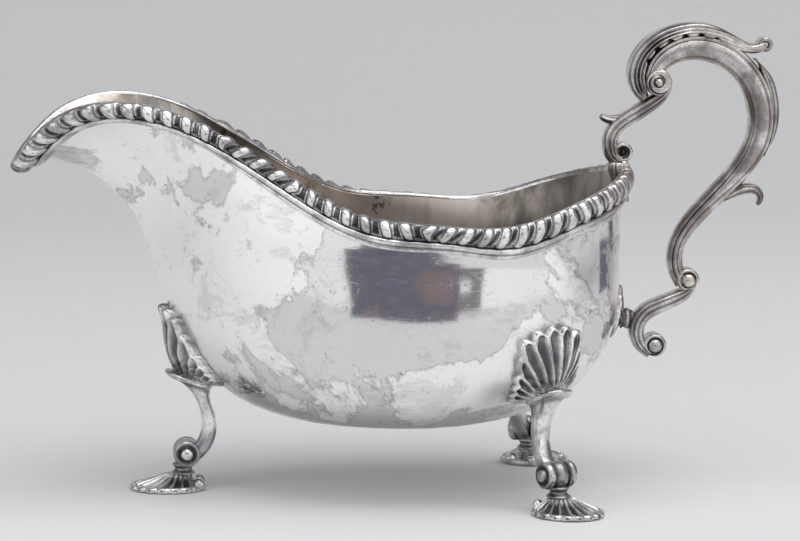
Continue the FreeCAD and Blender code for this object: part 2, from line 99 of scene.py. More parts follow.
LEAF_CAP = [
    (66.4, 106.2, 1.2, 3.4), (64.2, 109.0, 2.0, 4.4), (63.8, 113.4, 2.1, 4.9), (65.6, 118.2, 2.0, 5.1),
    (69.6, 122.2, 1.9, 5.1), (75.4, 124.6, 1.8, 5.0), (82.0, 124.8, 1.8, 4.8), (88.4, 122.6, 1.7, 4.4),
    (93.2, 119.8, 1.3, 3.8), (96.4, 119.4, 1.2, 3.4), (98.8, 120.6, 1.3, 3.0),
]
LEAF_CURL = (98.9, 120.8, 1.9, 3.2)
BACK_LEAF = [
    (96.4, 117.0, 0.5, 2.2), (99.6, 113.0, 1.1, 3.0), (101.4, 107.6, 1.3, 3.2),
    (101.9, 102.0, 1.3, 3.2), (101.4, 96.6, 1.2, 3.0), (99.2, 90.6, 0.6, 2.2),
]
LOWER_SPUR = [
    (88.2, 79.0, 0.8, 2.4), (92.0, 81.4, 1.5, 2.4), (95.8, 82.2, 1.4, 2.2), (98.4, 81.0, 1.2, 2.0),
    (98.9, 78.8, 0.9, 1.8), (98.0, 77.6, 0.5, 1.4),
]
BRACKET_PROFILE = [
    (60.4, 62.4, 78.6), (59.8, 62.4, 80.0), (58.4, 62.6, 84.0), (57.0, 62.8, 87.4), (57.3, 62.6, 88.4),
]
BRACKET_HALF_WIDTH = 4.4
BRACKET_ROUNDING = 0.35                    # power of its rounded rectangle
REED_PITCH = 0.95
NECK_X, NECK_Z = 59.9, 87.6
BOSS = (60.8, 64.6, 46.4, 2.9)             # near x, far x, z, radius
PLATE_CENTRE = (62.0, 0.0, 47.6)
PLATE_HALF_HEIGHT = 7.3
PLATE_HALF_WIDTH = 5.2
PLATE_THICKNESS = 2.3
LEGS = [
    ("front", -56.2, 0.0, 180.0, 0.0), ("left", 40.0, 36.8, 60.0, 3.4),
    ("right", 40.0, -36.8, -60.0, 3.4),
]
LEG_SCROLL = [
    (5.0, 32.2, -5.6, 28.8, 4.6), (3.2, 30.7, -5.6, 27.6, 3.5), (0.0, 28.4, -5.7, 25.6, 2.9),
    (-2.2, 25.6, -6.3, 23.2, 2.6), (-3.8, 21.8, -7.5, 20.4, 2.2), (-4.4, 17.6, -8.0, 16.8, 2.0),
    (-3.6, 14.2, -7.3, 12.8, 2.0), (-2.2, 12.2, -5.2, 9.6, 2.1), (-0.4, 11.0, -2.4, 7.6, 2.2),
]
KNUCKLE_Z = 10.1
ANKLE_OUT = 0.9
FOOT_HEEL = -5.2
FOOT_TOE = 15.2
FOOT_HALF_WIDTH = 9.2
FOOT_HEIGHT = 4.6
SHELL_CENTRE_Z = 31.0
SHELL_CENTRE_OUT = -4.0
SHELL_RADIUS_UP = 19.0
SHELL_RADIUS_DOWN = 4.9
SHELL_HALF_WIDTH = 10.0
SHELL_THICKNESS = 2.4
SHELL_DEPTH = 8.6
SHELL_LEAN_SHARE = 0.8
PATCH_BED = 0.1


# ------------------------------------------------------------------- curve maths
def round_weights(count, at):
    """Weights of `count` control points of a closed curve; point k is beside at = k."""
    at = np.asarray(at, float) - 1
    whole = np.floor(at).astype(int)
    t = at - whole
    shares = [(1 - t) ** 3 / 6, (3 * t ** 3 - 6 * t ** 2 + 4) / 6,
              (1 + 3 * t + 3 * t ** 2 - 3 * t ** 3) / 6, t ** 3 / 6]
    weights = np.zeros((len(at), count))
    for k, share in enumerate(shares):
        np.add.at(weights, (np.arange(len(at)), (whole + k) % count), share)
    return weights


def open_weights(count, at):
    """Weights of `count` control points of a cubic with free ends, for at = 0 .. count - 3."""
    spans = count - 3
    at = np.clip(np.asarray(at, float), 0, spans)
    knots = np.concatenate([[0] * 3, np.arange(spans + 1), [spans] * 3]).astype(float)
    weights = np.zeros((len(at), len(knots) - 1))
    weights[np.arange(len(at)), np.minimum(at.astype(int), spans - 1) + 3] = 1
    for degree in (1, 2, 3):
        lower = weights
        weights = np.zeros((len(at), len(knots) - 1 - degree))
        for i in range(weights.shape[1]):
            if knots[i + degree] > knots[i]:
                weights[:, i] += (at - knots[i]) / (knots[i + degree] - knots[i]) * lower[:, i]
            if knots[i + degree + 1] > knots[i + 1]:
                weights[:, i] += ((knots[i + degree + 1] - at) / (knots[i + degree + 1] - knots[i + 1])
                                  * lower[:, i + 1])
    return weights


def surface(rings, along, around):
    """Points of the surface through a stack of closed rings of control points."""
    rings = np.asarray(rings, float)
    return np.einsum("vm,mnk,un->vuk", open_weights(len(rings), along), rings,
                     round_weights(rings.shape[1], around))


def unit(v):
    return v / (np.linalg.norm(v, axis=-1, keepdims=True) + 1e-12)


def step(x, low, high):
    """Smooth rise from 0 at `low` to 1 at `high`."""
    t = np.clip((x - low) / (high - low), 0, 1)
    return t * t * (3 - 2 * t)


def bump(x, centre, width):
    return np.exp(-((x - centre) / width) ** 2)


def circle(count):
    """Angles of `count` points round a circle."""
    return np.arange(count) * 2 * math.pi / count


def lengths_along(points):
    """Length passed at each point of a line, from its first."""
    return np.concatenate([[0], np.cumsum(np.linalg.norm(np.diff(points, axis=0), axis=1))])


def grid_normals(grid):
    """Normals of a grid whose rows close on themselves, pointing away from the rows' middles."""
    around = np.roll(grid, -1, 1) - np.roll(grid, 1, 1)
    along = np.gradient(grid, axis=0)
    normals = unit(np.cross(around, along))
    outward = ((grid - grid.mean(1, keepdims=True)) * normals).sum()
    return normals if outward > 0 else -normals


# ------------------------------------------------------------------ mesh making
def finish_object(name, vertices, faces, material, attributes):
    mesh = bpy.data.meshes.new(name)
    mesh.from_pydata([tuple(v) for v in vertices], [], faces)
    for key, values in attributes.items():
        layer = mesh.attributes.new(key, "FLOAT", "POINT")
        layer.data.foreach_set("value", np.asarray(values, np.float32).ravel())
    mesh.polygons.foreach_set("use_smooth", [True] * len(mesh.polygons))
    mesh.materials.append(material)
    mesh.update()
    obj = bpy.data.objects.new(name, mesh)
    bpy.context.scene.collection.objects.link(obj)
    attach(obj, "root")
    return obj


def tube_faces(rows, columns, base=0):
    faces = []
    for r in range(rows - 1):
        for c in range(columns):
            d = (c + 1) % columns
            faces.append((base + r * columns + c, base + r * columns + d,
                          base + (r + 1) * columns + d, base + (r + 1) * columns + c))
    return faces


class Shape:
    """Meshes gathered into one object."""

    def __init__(self):
        self.vertices = []
        self.faces = []
        self.patina_and_shade = []
        self.count = 0

    def tube(self, grid, patina_and_shade=None):
        """A tube of rings in millimetres, with its ends filled; its dark mask is 1 where patina in the
        hollows and painted shade darken it.
        """
        rows, columns = grid.shape[:2]
        if patina_and_shade is None:
            patina_and_shade = np.zeros((rows, columns))
        around = np.roll(grid, -1, 1) - grid
        along = np.gradient(grid, axis=0)
        normals = np.cross(around, along)
        outward = ((grid - grid.mean(1, keepdims=True)) * normals).sum() > 0
        faces = tube_faces(rows, columns, self.count)
        first = tuple(self.count + c for c in range(columns))
        last = tuple(self.count + (rows - 1) * columns + c for c in range(columns))
        faces += [first[::-1], last]
        if not outward:
            faces = [f[::-1] for f in faces]
        self.vertices.append(grid.reshape(-1, 3) * MM)
        self.patina_and_shade.append(np.asarray(patina_and_shade, float).ravel())
        self.faces += faces
        self.count += rows * columns

    def build(self, name, material, node):
        """The piece `name`, which stands for the CAD node `node`."""
        obj = finish_object(name, np.concatenate(self.vertices), self.faces, material,
                            {"patina_and_shade": np.concatenate(self.patina_and_shade)})
        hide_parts(node)


DOME_TURNS = [22, 45, 65, 80, 88]          # degrees up the dome, one ring each


def domed(grid, patina_and_shade, rise_first, rise_last):
    """Rounds both ends of a tube: adds shrinking rings that stand out by the given rises."""
    for rise in (rise_first, rise_last):
        grid, patina_and_shade = grid[::-1], patina_and_shade[::-1]
        ring, centre = grid[-1], grid[-1].mean(0)
        away = unit(centre - grid[-2].mean(0))
        rings = [centre + (ring - centre) * math.cos(turn) + away * rise * math.sin(turn)
                 for turn in np.radians(DOME_TURNS)]
        grid = np.concatenate([grid, rings])
        patina_and_shade = np.concatenate([patina_and_shade, np.repeat(patina_and_shade[-1:], len(rings), 0)])
    return grid, patina_and_shade


# --------------------------------------------------------------------- sweeps
def handle_place(x, y, z):
    return np.stack(np.broadcast_arrays(x, y, z), -1).astype(float)


def leg_place(leg):
    x, y, heading = leg[1:4]
    cos_h = math.cos(math.radians(heading))
    sin_h = math.sin(math.radians(heading))

    def place(out, across, z):
        out, across, z = np.broadcast_arrays(out, across, z)
        return np.stack([x + out * cos_h - across * sin_h, y + out * sin_h + across * cos_h, z], -1)
    return place


def scroll_edges(stations):
    """The two edge lines of a scroll from its centre line and thickness."""
    edges = []
    last = len(stations) - 1
    for k, (out, z, thick, deep) in enumerate(stations):
        before = stations[max(k - 1, 0)]
        after = stations[min(k + 1, last)]
        run = math.hypot(after[0] - before[0], after[1] - before[1])
        side = ((after[1] - before[1]) / run * thick, -(after[0] - before[0]) / run * thick)
        edges.append((out + side[0], z + side[1], out - side[0], z - side[1], deep))
    return edges


def sweep(shape, edges, place, rows, columns, detail, domes):
    """A scroll between two edge lines, with domed ends.  detail(a, b, s) gives (rise, darkening by
    patina and painted shade):
    a runs across the thickness, b across the depth, and s is the share of the length."""
    rings = []
    for out_1, z_1, out_2, z_2, deep in edges:
        rings.append([place((out_1 + out_2) / 2 + (out_1 - out_2) / 2 * a, b * deep,
                            (z_1 + z_2) / 2 + (z_1 - z_2) / 2 * a) for a, b in SECTION])
    around = np.arange(columns) * len(SECTION) / columns
    grid = surface(rings, np.linspace(0, len(rings) - 3, rows), around)
    a, b = (round_weights(len(SECTION), around) @ np.array(SECTION)).T
    lengths = lengths_along(grid.mean(1))
    rise, patina_and_shade = detail(a[None, :], b[None, :], (lengths / lengths[-1])[:, None])
    rise = np.broadcast_to(rise, (rows, columns))
    patina_and_shade = np.broadcast_to(patina_and_shade, (rows, columns))
    grid = grid + grid_normals(grid) * rise[..., None]
    shape.tube(*domed(grid, patina_and_shade, *domes))


def volute(shape, place, eye, turns, bead, start=0.0, hand=1, groove=0.5, hollow=0.0):
    """Round eye of a scroll: a spiral groove on both ends, and a bead or a hollow in the middle."""
    out, z, radius, half = eye
    columns = 96
    shares = np.linspace(0.01, 1, 34)
    theta = circle(columns)
    rho = shares[:, None] * radius
    phase = turns * shares[:, None] - hand * (theta[None, :] - start) / (2 * math.pi)
    from_groove = np.abs(phase - np.round(phase)) * radius / turns
    outside_bead = step(rho, bead * 0.95, bead * 1.1)
    cut = bump(from_groove, 0, 0.22) * outside_bead * (1 - step(shares[:, None], 0.93, 1.0))
    ball = np.sqrt(np.clip(bead ** 2 - rho ** 2, 0, None)) * 0.75
    moat = bump(rho, bead + 0.12, 0.16)
    relief = ball - groove * np.maximum(cut, moat) - 0.35 * step(shares[:, None], 0.86, 1.0)
    relief = relief - hollow * (1 - step(rho, radius * 0.5, radius * 0.72))
    well = (hollow > 0) * (1 - step(rho, radius * 0.45, radius * 0.7))
    patina_and_shade = np.clip(np.maximum(cut, moat) + well, 0, 1)
    wall = np.linspace(1, -1, 9)[1:-1]
    near, far = [place(out + rho * np.cos(theta), side * (half + relief), z + rho * np.sin(theta))
                 for side in (1, -1)]
    edge = [place(out + radius * (1 + 0.03 * (1 - w * w)) * np.cos(theta), w * (half - 0.35),
                  z + radius * (1 + 0.03 * (1 - w * w)) * np.sin(theta)) for w in wall]
    shape.tube(np.concatenate([near, np.array(edge), far[::-1]]),
               np.concatenate([patina_and_shade, np.zeros((len(wall), columns)), patina_and_shade[::-1]]))


def turned(shape, place, out, z, profile, axis="across"):
    """A turned piece from (distance along its axis, radius, darkening by patina and painted shade)
    rows.
    """
    columns = 72
    theta = circle(columns)
    along, radius, patina_and_shade = profile[:, :1], profile[:, 1:2], profile[:, 2:]
    if axis == "up":
        grid = place(out + radius * np.cos(theta), radius * np.sin(theta), z + along)
    elif axis == "out":
        grid = place(out + along, radius * np.cos(theta), z + radius * np.sin(theta))
    else:
        grid = place(out + radius * np.cos(theta), along, z + radius * np.sin(theta))
    shape.tube(grid, np.repeat(patina_and_shade, columns, 1))


def fine_profile(points, count):
    """A smooth profile through control rows."""
    points = np.array(points, float)
    return open_weights(len(points), np.linspace(0, len(points) - 3, count)) @ points


# ------------------------------------------------------------------------ bowl
def level_loop(front, front_z, rear, rear_z, half_width, side_z, widest, front_power, rear_power):
    points = []
    for angle in LOOP_ANGLES:
        cos_t = math.cos(math.radians(angle))
        sin_t = 0.0 if angle == 180 else max(math.sin(math.radians(angle)), 0.0)
        if cos_t >= 0:
            reach, end_z, power = widest - front, front_z, front_power
        else:
            reach, end_z, power = rear - widest, rear_z, rear_power
        points.append((widest - reach * cos_t, half_width * sin_t ** power,
                       side_z + (end_z - side_z) * cos_t ** 2))
    return np.array(points)


def rising_loop(lower, rim, level):
    share = np.array(LIP_SHARE + [0.0] * (len(rim) - len(LIP_SHARE)))[:, None]
    out = share * LIP_RISE[level][0] + (1 - share) * SIDE_RISE[level][0]
    up = share * LIP_RISE[level][1] + (1 - share) * SIDE_RISE[level][1]
    return lower + (rim - lower) * np.concatenate([out, out, up], 1)


def whole_loop(half):
    return np.concatenate([half, half[-2:0:-1] * [1, -1, 1]])


def bowl_rings():
    halves = [level_loop(*loop) for loop in BOWL_LOOPS]
    rim = np.array(RIM)
    halves += [rising_loop(halves[len(BOWL_LOOPS) - 1], rim, level) for level in range(len(LIP_RISE))]
    halves.append(rim)
    return np.array([whole_loop(half) for half in halves])


def inset_rings(rings, depth):
    moved = []
    for j, ring in enumerate(rings):
        up = rings[min(j + 1, len(rings) - 1)] - rings[max(j - 1, 0)]
        along = np.roll(ring, -1, 0) - np.roll(ring, 1, 0)
        inward = np.cross(along, up) if j else np.tile([0.0, 0.0, 1.0], (len(ring), 1))
        moved.append(ring + unit(inward) * depth)
    return np.array(moved)


OUTSIDE = bowl_rings()
SKIN_TOP = len(OUTSIDE) - 3.0


def skin(at_v, at_u):
    return surface(OUTSIDE, np.atleast_1d(at_v), np.atleast_1d(at_u))


def skin_tree():
    """The outside of the bowl as a mesh to look up places on."""
    rows, columns = 161, 480
    grid = skin(np.linspace(0, SKIN_TOP, rows), np.linspace(0, LOOP_POINTS, columns + 1)[:-1])
    faces = tube_faces(rows, columns)
    faces.append(tuple(range(columns))[::-1])
    return BVHTree.FromPolygons([tuple(p) for p in grid.reshape(-1, 3)], faces)


SKIN_TREE = skin_tree()


def on_skin(point):
    """Nearest place on the outside of the bowl, and the normal there."""
    place, normal, _, _ = SKIN_TREE.find_nearest(Vector(point))
    place, normal = np.array(place), np.array(normal)
    if normal[0] * place[0] + normal[1] * place[1] < 0:
        normal = -normal
    return place, normal


def make_bowl(material):
    """The bowl's sheet with a faint hammered wave, and "inside" = 1 within it."""
    columns = 384
    inside = inset_rings(OUTSIDE, WALL)
    rings = np.concatenate([OUTSIDE, OUTSIDE[-1:], inside[-1:], inside[::-1]])
    spans = len(rings) - 3
    edge_start, edge_end = 6.5, 10.5       # the rim's edge, as numbers of rings from the bottom
    along = np.concatenate([np.linspace(0, edge_start, 105)[:-1],
                            np.linspace(edge_start, edge_end, 41)[:-1],
                            np.linspace(edge_end, spans, 80)])
    grid = surface(rings, along, np.arange(columns) * LOOP_POINTS / columns)
    x, y, z = grid[..., 0], grid[..., 1], grid[..., 2]
    wave = (0.05 * np.sin(x / 9 + 1.3 * np.sin(z / 11)) * np.sin(z / 8 + y / 13)
            + 0.03 * np.sin(x / 4.3 - z / 5.1 + 2) * np.sin(y / 6 + z / 7))
    fade = (step(along, 0.0, 1.0) * (1 - step(along, 5.0, 5.8))
            + step(along, 11, 12) * (1 - step(along, spans - 1, spans)))
    grid = grid + grid_normals(grid) * (wave * fade[:, None])[..., None]
    shape = Shape()
    shape.tube(grid)
    inner = step(along, 8.2, 8.8)[:, None] * np.ones(columns)
    obj = finish_object("bowl_silver", np.concatenate(shape.vertices), shape.faces, material,
                        {"patina_and_shade": shape.patina_and_shade[0], "inside": inner})
    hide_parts("bowl")


# ------------------------------------------------------------------------- rim
def wall_run(stations):
    """Points, normals and lengths down the wall from the rim, at stations round one side."""
    reach, rows = 3.2, 340
    at_v = np.linspace(SKIN_TOP, SKIN_TOP - reach, rows)
    points = skin(at_v, stations)
    steps = np.linalg.norm(np.diff(points, axis=0), axis=2)
    down = np.concatenate([np.zeros((1, len(stations))), np.cumsum(steps, 0)])
    close = skin(at_v, stations + 0.01) - skin(at_v, stations - 0.01)
    normals = unit(np.cross(close, np.gradient(points, axis=0)))
    middle = len(stations) // 2
    if (normals[40, middle, :2] * points[40, middle, :2]).sum() < 0:
        normals = -normals
    return points, normals, down


def rim_stations(count):
    """Evenly spaced stations from the lip to the handle, their runs, and the whole length."""
    fine = np.linspace(0, LOOP_POINTS / 2, 2401)
    edge = skin([SKIN_TOP], fine)[0]
    run = lengths_along(edge)
    length = run[-1]
    even = np.linspace(0, length, count)
    return np.interp(even, run, fine), even, length


def section_points(walls, section):
    """Places `section`, rows of (out, down), at every station; it may differ along the rim."""
    points, normals, down = walls
    count = points.shape[1]
    up = unit(points[0] - points[6])
    sections = np.broadcast_to(section, (count, *section.shape[-2:]))
    grid = np.zeros((count, section.shape[-2], 3))
    for j in range(count):
        out, depth = sections[j].T
        clipped = np.clip(depth, 0, None)
        base = np.stack([np.interp(clipped, down[:, j], points[:, j, k]) for k in range(3)], -1)
        norm = np.stack([np.interp(clipped, down[:, j], normals[:, j, k]) for k in range(3)], -1)
        grid[j] = base + unit(norm) * out[:, None] + up[j] * np.clip(-depth, 0, None)[:, None]
    return grid


# Contour of the border: out from the wall and down from the edge
BORDER_CONTOUR = [
    (-1.25, 1.2), (-1.3, 0.5), (-1.05, -0.15), (-0.3, -0.55), (0.6, -0.85), (1.6, -0.55), (2.4, 0.4),
    (2.75, 1.6), (2.8, 2.8), (2.5, 4.0), (1.8, 5.0), (0.9, 5.5), (0.1, 5.6), (-0.3, 4.6), (-0.5, 3.0),
]
# Where the slant of the lobes turns over, as X on the rim
TURNS_X = [-48.0, -29.0, 3.7, 42.0]
LOBE_LEANS = [-0.32, 0.34, -0.36, 0.46, -0.2]   # lean of the lobes between the turns, in lobes
LOBE_PERIOD = 5.2
BORDER_MIDDLE = (1.0, 2.4)                 # out from the wall, down from the edge
BORDER_STATIONS = 1440
MOULDING_STATIONS, MOULDING_COLUMNS = 480, 44


def gadroon_phase(run, turns, length):
    """Number of lobes passed, whole at every turn of the slant, and the slant itself."""
    marks = [0.0] + list(turns) + [length]
    counts = [0.0]
    for k in range(1, len(marks)):
        counts.append(counts[-1] + max(round((marks[k] - marks[k - 1]) / LOBE_PERIOD), 1))
    phase = np.interp(run, marks, counts)
    slant = np.full_like(run, LOBE_LEANS[0])
    for k, mark in enumerate(turns):
        slant += (LOBE_LEANS[k + 1] - LOBE_LEANS[k]) * step(run, mark - 2.0, mark + 2.0)
    return phase, slant


def build_pair(name, material, node, grid, patina_and_shade):
    """The strip on the left side of the rim, and its mirror image on the right."""
    for side, sign in (("left", 1), ("right", -1)):
        shape = Shape()
        shape.tube(grid * [1, sign, 1], patina_and_shade)
        shape.build(name + side, material, node + side)


def make_border(material):
    """The gadrooned border and the moulding under it, mirrored for the far side."""
    at, run, length = rim_stations(BORDER_STATIONS)
    walls = wall_run(at)
    edge_x = walls[0][0][:, 0]
    turns = [float(np.interp(x, edge_x, run)) for x in TURNS_X]
    phase, slant = gadroon_phase(run, turns, length)
    contour = fine_profile(BORDER_CONTOUR, 44)
    tangent = np.gradient(contour, axis=0)
    normal2 = unit(np.stack([-tangent[:, 1], tangent[:, 0]], -1))
    if ((contour - BORDER_MIDDLE) * normal2).sum() < 0:
        normal2 = -normal2
    depth = contour[:, 1]
    share = np.clip((depth + 0.8) / 6.2, 0, 1)
    lean = share - 0.5
    rim_way = unit(np.gradient(walls[0][0], axis=0))
    down_way = unit(walls[0][60] - walls[0][0])
    shear = (rim_way * down_way).sum(-1) / LOBE_PERIOD
    below = depth - BORDER_MIDDLE[1]
    q = phase[:, None] + slant[:, None] * lean[None, :] + shear[:, None] * below[None, :]
    x = (q - np.round(q)) * 2              # 0 on a lobe's crest, -1 and 1 in the hollows beside it
    lobe_half = 0.58 - 0.13 * share[None, :]
    lobe = np.sqrt(np.clip(1 - (x / lobe_half) ** 2, 0, None))
    channel_x = (1 - np.abs(x)) / (1 - lobe_half)
    channel = np.sqrt(np.clip(1 - channel_x ** 2, 0, None))
    face = (step(contour[:, 0], -0.6, 1.0) * (1 - step(depth, 5.0, 5.6)))[None, :]
    face[:, len(contour) * 12 // 15:] = 0  # the last rows lie against the wall
    inner_side = step(contour[:, 0], -1.4, 0.0)[None, :]
    hill = -0.55 + 0.75 * lobe
    ditch = -0.6 - 0.7 * channel + 0.5 * bump(channel_x, 0.66, 0.17)
    rise = np.where(np.abs(x) < lobe_half, hill, ditch)
    rise = rise * face - 0.12 * (1 - lobe) * inner_side * (1 - face)
    # Painted shade, with patina in the channels: the channels between the lobes and the flanks of each
    # lobe are dark, and the thin ridges beside each channel are lighter.
    between = np.clip(0.35 + 0.75 * channel, 0, 1) * (1 - 0.95 * bump(channel_x, 0.66, 0.18))
    flank = 0.9 * step(np.abs(x) / lobe_half, 0.78, 1.0)
    patina_and_shade = np.where(np.abs(x) < lobe_half, flank, between) * face
    grid = section_points(walls, contour[None] + normal2[None] * rise[..., None])
    # Painted shade under the lobes, on the outer face where they overhang the moulding.
    low = step(depth, 4.7, 5.5)[None, :]
    patina_and_shade = np.clip(patina_and_shade + 0.45 * low * (contour[:, 0] > 0.2), 0, 1)
    build_pair("gadroons_", material, "gadroon_border_", grid, patina_and_shade)
    wire_walls = wall_run(rim_stations(MOULDING_STATIONS)[0])
    around = np.arange(MOULDING_COLUMNS) * len(MOULDING) / MOULDING_COLUMNS
    wire = round_weights(len(MOULDING), around) @ np.array(MOULDING)
    grid = section_points(wire_walls, wire)
    shade = np.clip(0.5 * bump(wire[:, 1], 5.5, 0.25) + 0.7 * bump(wire[:, 1], 7.5, 0.2), 0, 1)
    build_pair("moulding_", material, "rim_wire_", grid, np.repeat(shade[None], len(grid), 0))


# ---------------------------------------------------------------------- handle
def main_detail(a, b, s):
    """The great scroll: a raised line, painted shade towards its inner side, and a groove that deepens
    lower down.
    """
    side = step(np.abs(b), 0.55, 0.9)
    ridge_at = -0.86 + 0.5 * step(s, 0.55, 0.8)
    low = step(s, 0.5, 0.75)
    groove = bump(a, 0.8 - 0.3 * low, 0.09) * side
    ridge = bump(a, ridge_at, 0.10) * side
    gutter = bump(a, ridge_at + 0.19, 0.07) * side
    bevel = step(a, 0.7, 1.1) * side
    rise = -(0.2 + 0.2 * low) * groove + 0.35 * ridge - 0.2 * gutter - 0.3 * bevel
    # Painted shade: the sides darken a little all over and more towards the inner side below the top;
    # the groove and the gutter beside the raised line are dark with patina and painted shade.
    shade = 0.12 + 0.3 * bump(a, 0.45, 0.4) * step(s, 0.05, 0.3)
    return rise, np.clip((0.35 + 0.3 * low) * groove + 0.55 * gutter + shade * side, 0, 1)


def ridged(at, width, height, gutter=0.12):
    """A raised line along both sides of a scroll."""
    def detail(a, b, s):
        side = step(np.abs(b), 0.5, 0.9)
        ridge = bump(a, at, width) * side
        beside = (bump(a, at + 2.1 * width, width) + bump(a, at - 2.1 * width, width)) * side
        # Dark gutters beside the line, patina and painted shade, and the sides a little darker.
        return height * ridge - gutter * beside, np.clip(0.7 * beside + 0.15 * side, 0, 1)
    return detail


def back_detail(a, b, s):
    """Two ridges along a leaf that thins out at both ends."""
    ridges, patina_and_shade = ridged(-0.3, 0.2, 0.2)(a, b, s)
    return ridges - 0.55 * step(np.abs(2 * s - 1), 0.55, 1.0), patina_and_shade


LEAF_NOTCHES = 10.5                        # as if they ran the whole length of the leaf


def leaf_detail(a, b, s):
    """Flutes along the leaf, and a serrated edge over the side of the scroll."""
    place = (a + 1.15) / 2.3
    spread = 4.4 * place ** 1.15 + 1.3 * s + 0.25 * np.sin(9 * s)
    wave = np.cos(2 * math.pi * spread)
    side = step(np.abs(b), 0.3, 0.75)
    fade = step(s, 0.0, 0.08) * (1 - step(s, 0.8, 0.95))
    fade = fade * (1 - 0.75 * step(s, 0.42, 0.6) * step(place, 0.1, 0.4))
    notched = step(s, 0.2, 0.26) * (1 - step(s, 0.74, 0.8))
    notch = step(a, 0.3, 0.75) * side * bump((s * LEAF_NOTCHES) % 1, 0.5, 0.17) * notched
    rise = 0.34 * wave * side * fade - 1.1 * notch + 0.15 * side * bump(a, 1.0, 0.2)
    # Painted shade over the first part of the leaf, lighter along its outer edge; the flute hollows
    # and the notches are dark with patina and painted shade.
    depth = 0.3 * side * (1 - step(s, 0.3, 0.55)) * step(place, 0.15, 0.4)
    patina_and_shade = (0.42 - 0.42 * wave) * side * fade + 0.8 * notch + depth * (1 - 0.8 * bump(a, 1.05, 0.2))
    return rise, np.clip(patina_and_shade, 0, 1)


def make_handle(material):
    """Scrolls, leaves and spurs with their eyes, then the tab, the plate and the collar."""
    domes = (0.4, 0.4)
    pieces = [
        ("c_scroll", "main_scroll", MAIN_SCROLL, 520, 128, main_detail, domes,
         [(UPPER_EYE, dict(turns=1.6, bead=1.15, start=2.2)),
          (LOWER_EYE, dict(turns=0.7, bead=1.9, start=2.5, hand=-1, groove=0.6))]),
        ("s_scroll_upper", "upper_scroll", UPPER_SCROLL, 260, 96, ridged(-0.1, 0.16, 0.4), domes,
         [(UPPER_SCROLL_EYE, dict(turns=0.6, bead=0.6, hollow=0.9))]),
        ("s_scroll_lower", "lower_scroll", LOWER_SCROLL, 260, 96, ridged(0.15, 0.16, 0.35), domes,
         [(LOWER_SCROLL_EYE, dict(turns=0.7, bead=1.9, start=2.0, hand=-1, groove=0.6))]),
        ("acanthus_cap", "leaf_cap", LEAF_CAP, 420, 144, leaf_detail, domes,
         [(LEAF_CURL, dict(turns=0.8, bead=0.7, groove=0.3))]),
        ("acanthus_back", "back_leaf", BACK_LEAF, 160, 72, back_detail, (0.1, 0.1), []),
        ("spur_upper", "thumb_spur", SPUR, 60, 64, ridged(0.0, 0.3, 0.15), domes, []),
        ("spur_lower", "lower_spur", LOWER_SPUR, 120, 72, ridged(0.0, 0.25, 0.2), domes, []),
    ]
    for name, node, stations, rows, columns, detail, ends, eyes in pieces:
        shape = Shape()
        sweep(shape, scroll_edges(stations), handle_place, rows, columns, detail, ends)
        for eye, cut in eyes:
            volute(shape, handle_place, eye, **cut)
        shape.build(name, material, "handle_" + node)
    make_bracket(material)
    make_plate(material)


def make_bracket(material):
    """Reeded tab inside the rim, the neck with its collar and the drop beside it."""
    shape = Shape()
    rows = fine_profile(BRACKET_PROFILE, 60)
    columns = 240
    t = circle(columns)
    cos_t, sin_t = np.cos(t), np.sin(t)
    box_x = np.sign(cos_t) * np.abs(cos_t) ** BRACKET_ROUNDING
    box_y = np.sign(sin_t) * np.abs(sin_t) ** BRACKET_ROUNDING
    around = lengths_along(np.stack([box_x * 2.5, box_y * BRACKET_HALF_WIDTH], 1))
    reeds = np.abs(np.cos(math.pi * around / REED_PITCH))
    x_in, x_out, z = rows.T
    half_x = ((x_out - x_in) / 2)[:, None] - 0.28 + 0.34 * reeds[None, :]
    half_y = BRACKET_HALF_WIDTH - 0.3 + 0.34 * reeds[None, :]
    grid = handle_place(((x_in + x_out) / 2)[:, None] + half_x * box_x, half_y * box_y, z[:, None])
    patina_and_shade = np.repeat((1 - reeds)[None] ** 2, len(rows), 0)
    shape.tube(*domed(grid, patina_and_shade, 0.3, 1.4))
    turned(shape, handle_place, NECK_X, NECK_Z, fine_profile([
        (0.0, 0.2, 0), (0.0, 2.4, 0.8), (0.5, 2.5, 0.6), (0.9, 2.3, 0.9), (1.3, 1.9, 0.9),
        (2.0, 1.8, 0.4), (2.8, 1.9, 0.6), (3.3, 2.0, 0.8), (3.6, 0.2, 0.8)], 48), axis="up")
    for side in (1, -1):
        s = np.linspace(0, 1, 40)[:, None]
        theta = circle(40)
        width = 1.25 * np.sin(math.pi * s ** 0.7) ** 0.8 + 0.03
        shape.tube(handle_place(61.3 + 0.9 * (s - 0.5) + width * np.cos(theta),
                                side * (4.3 + 0.5 * width * np.sin(theta)), 89.6 - 5.2 * s))
    shape.build("rim_tab", material, "handle_rim_bracket")


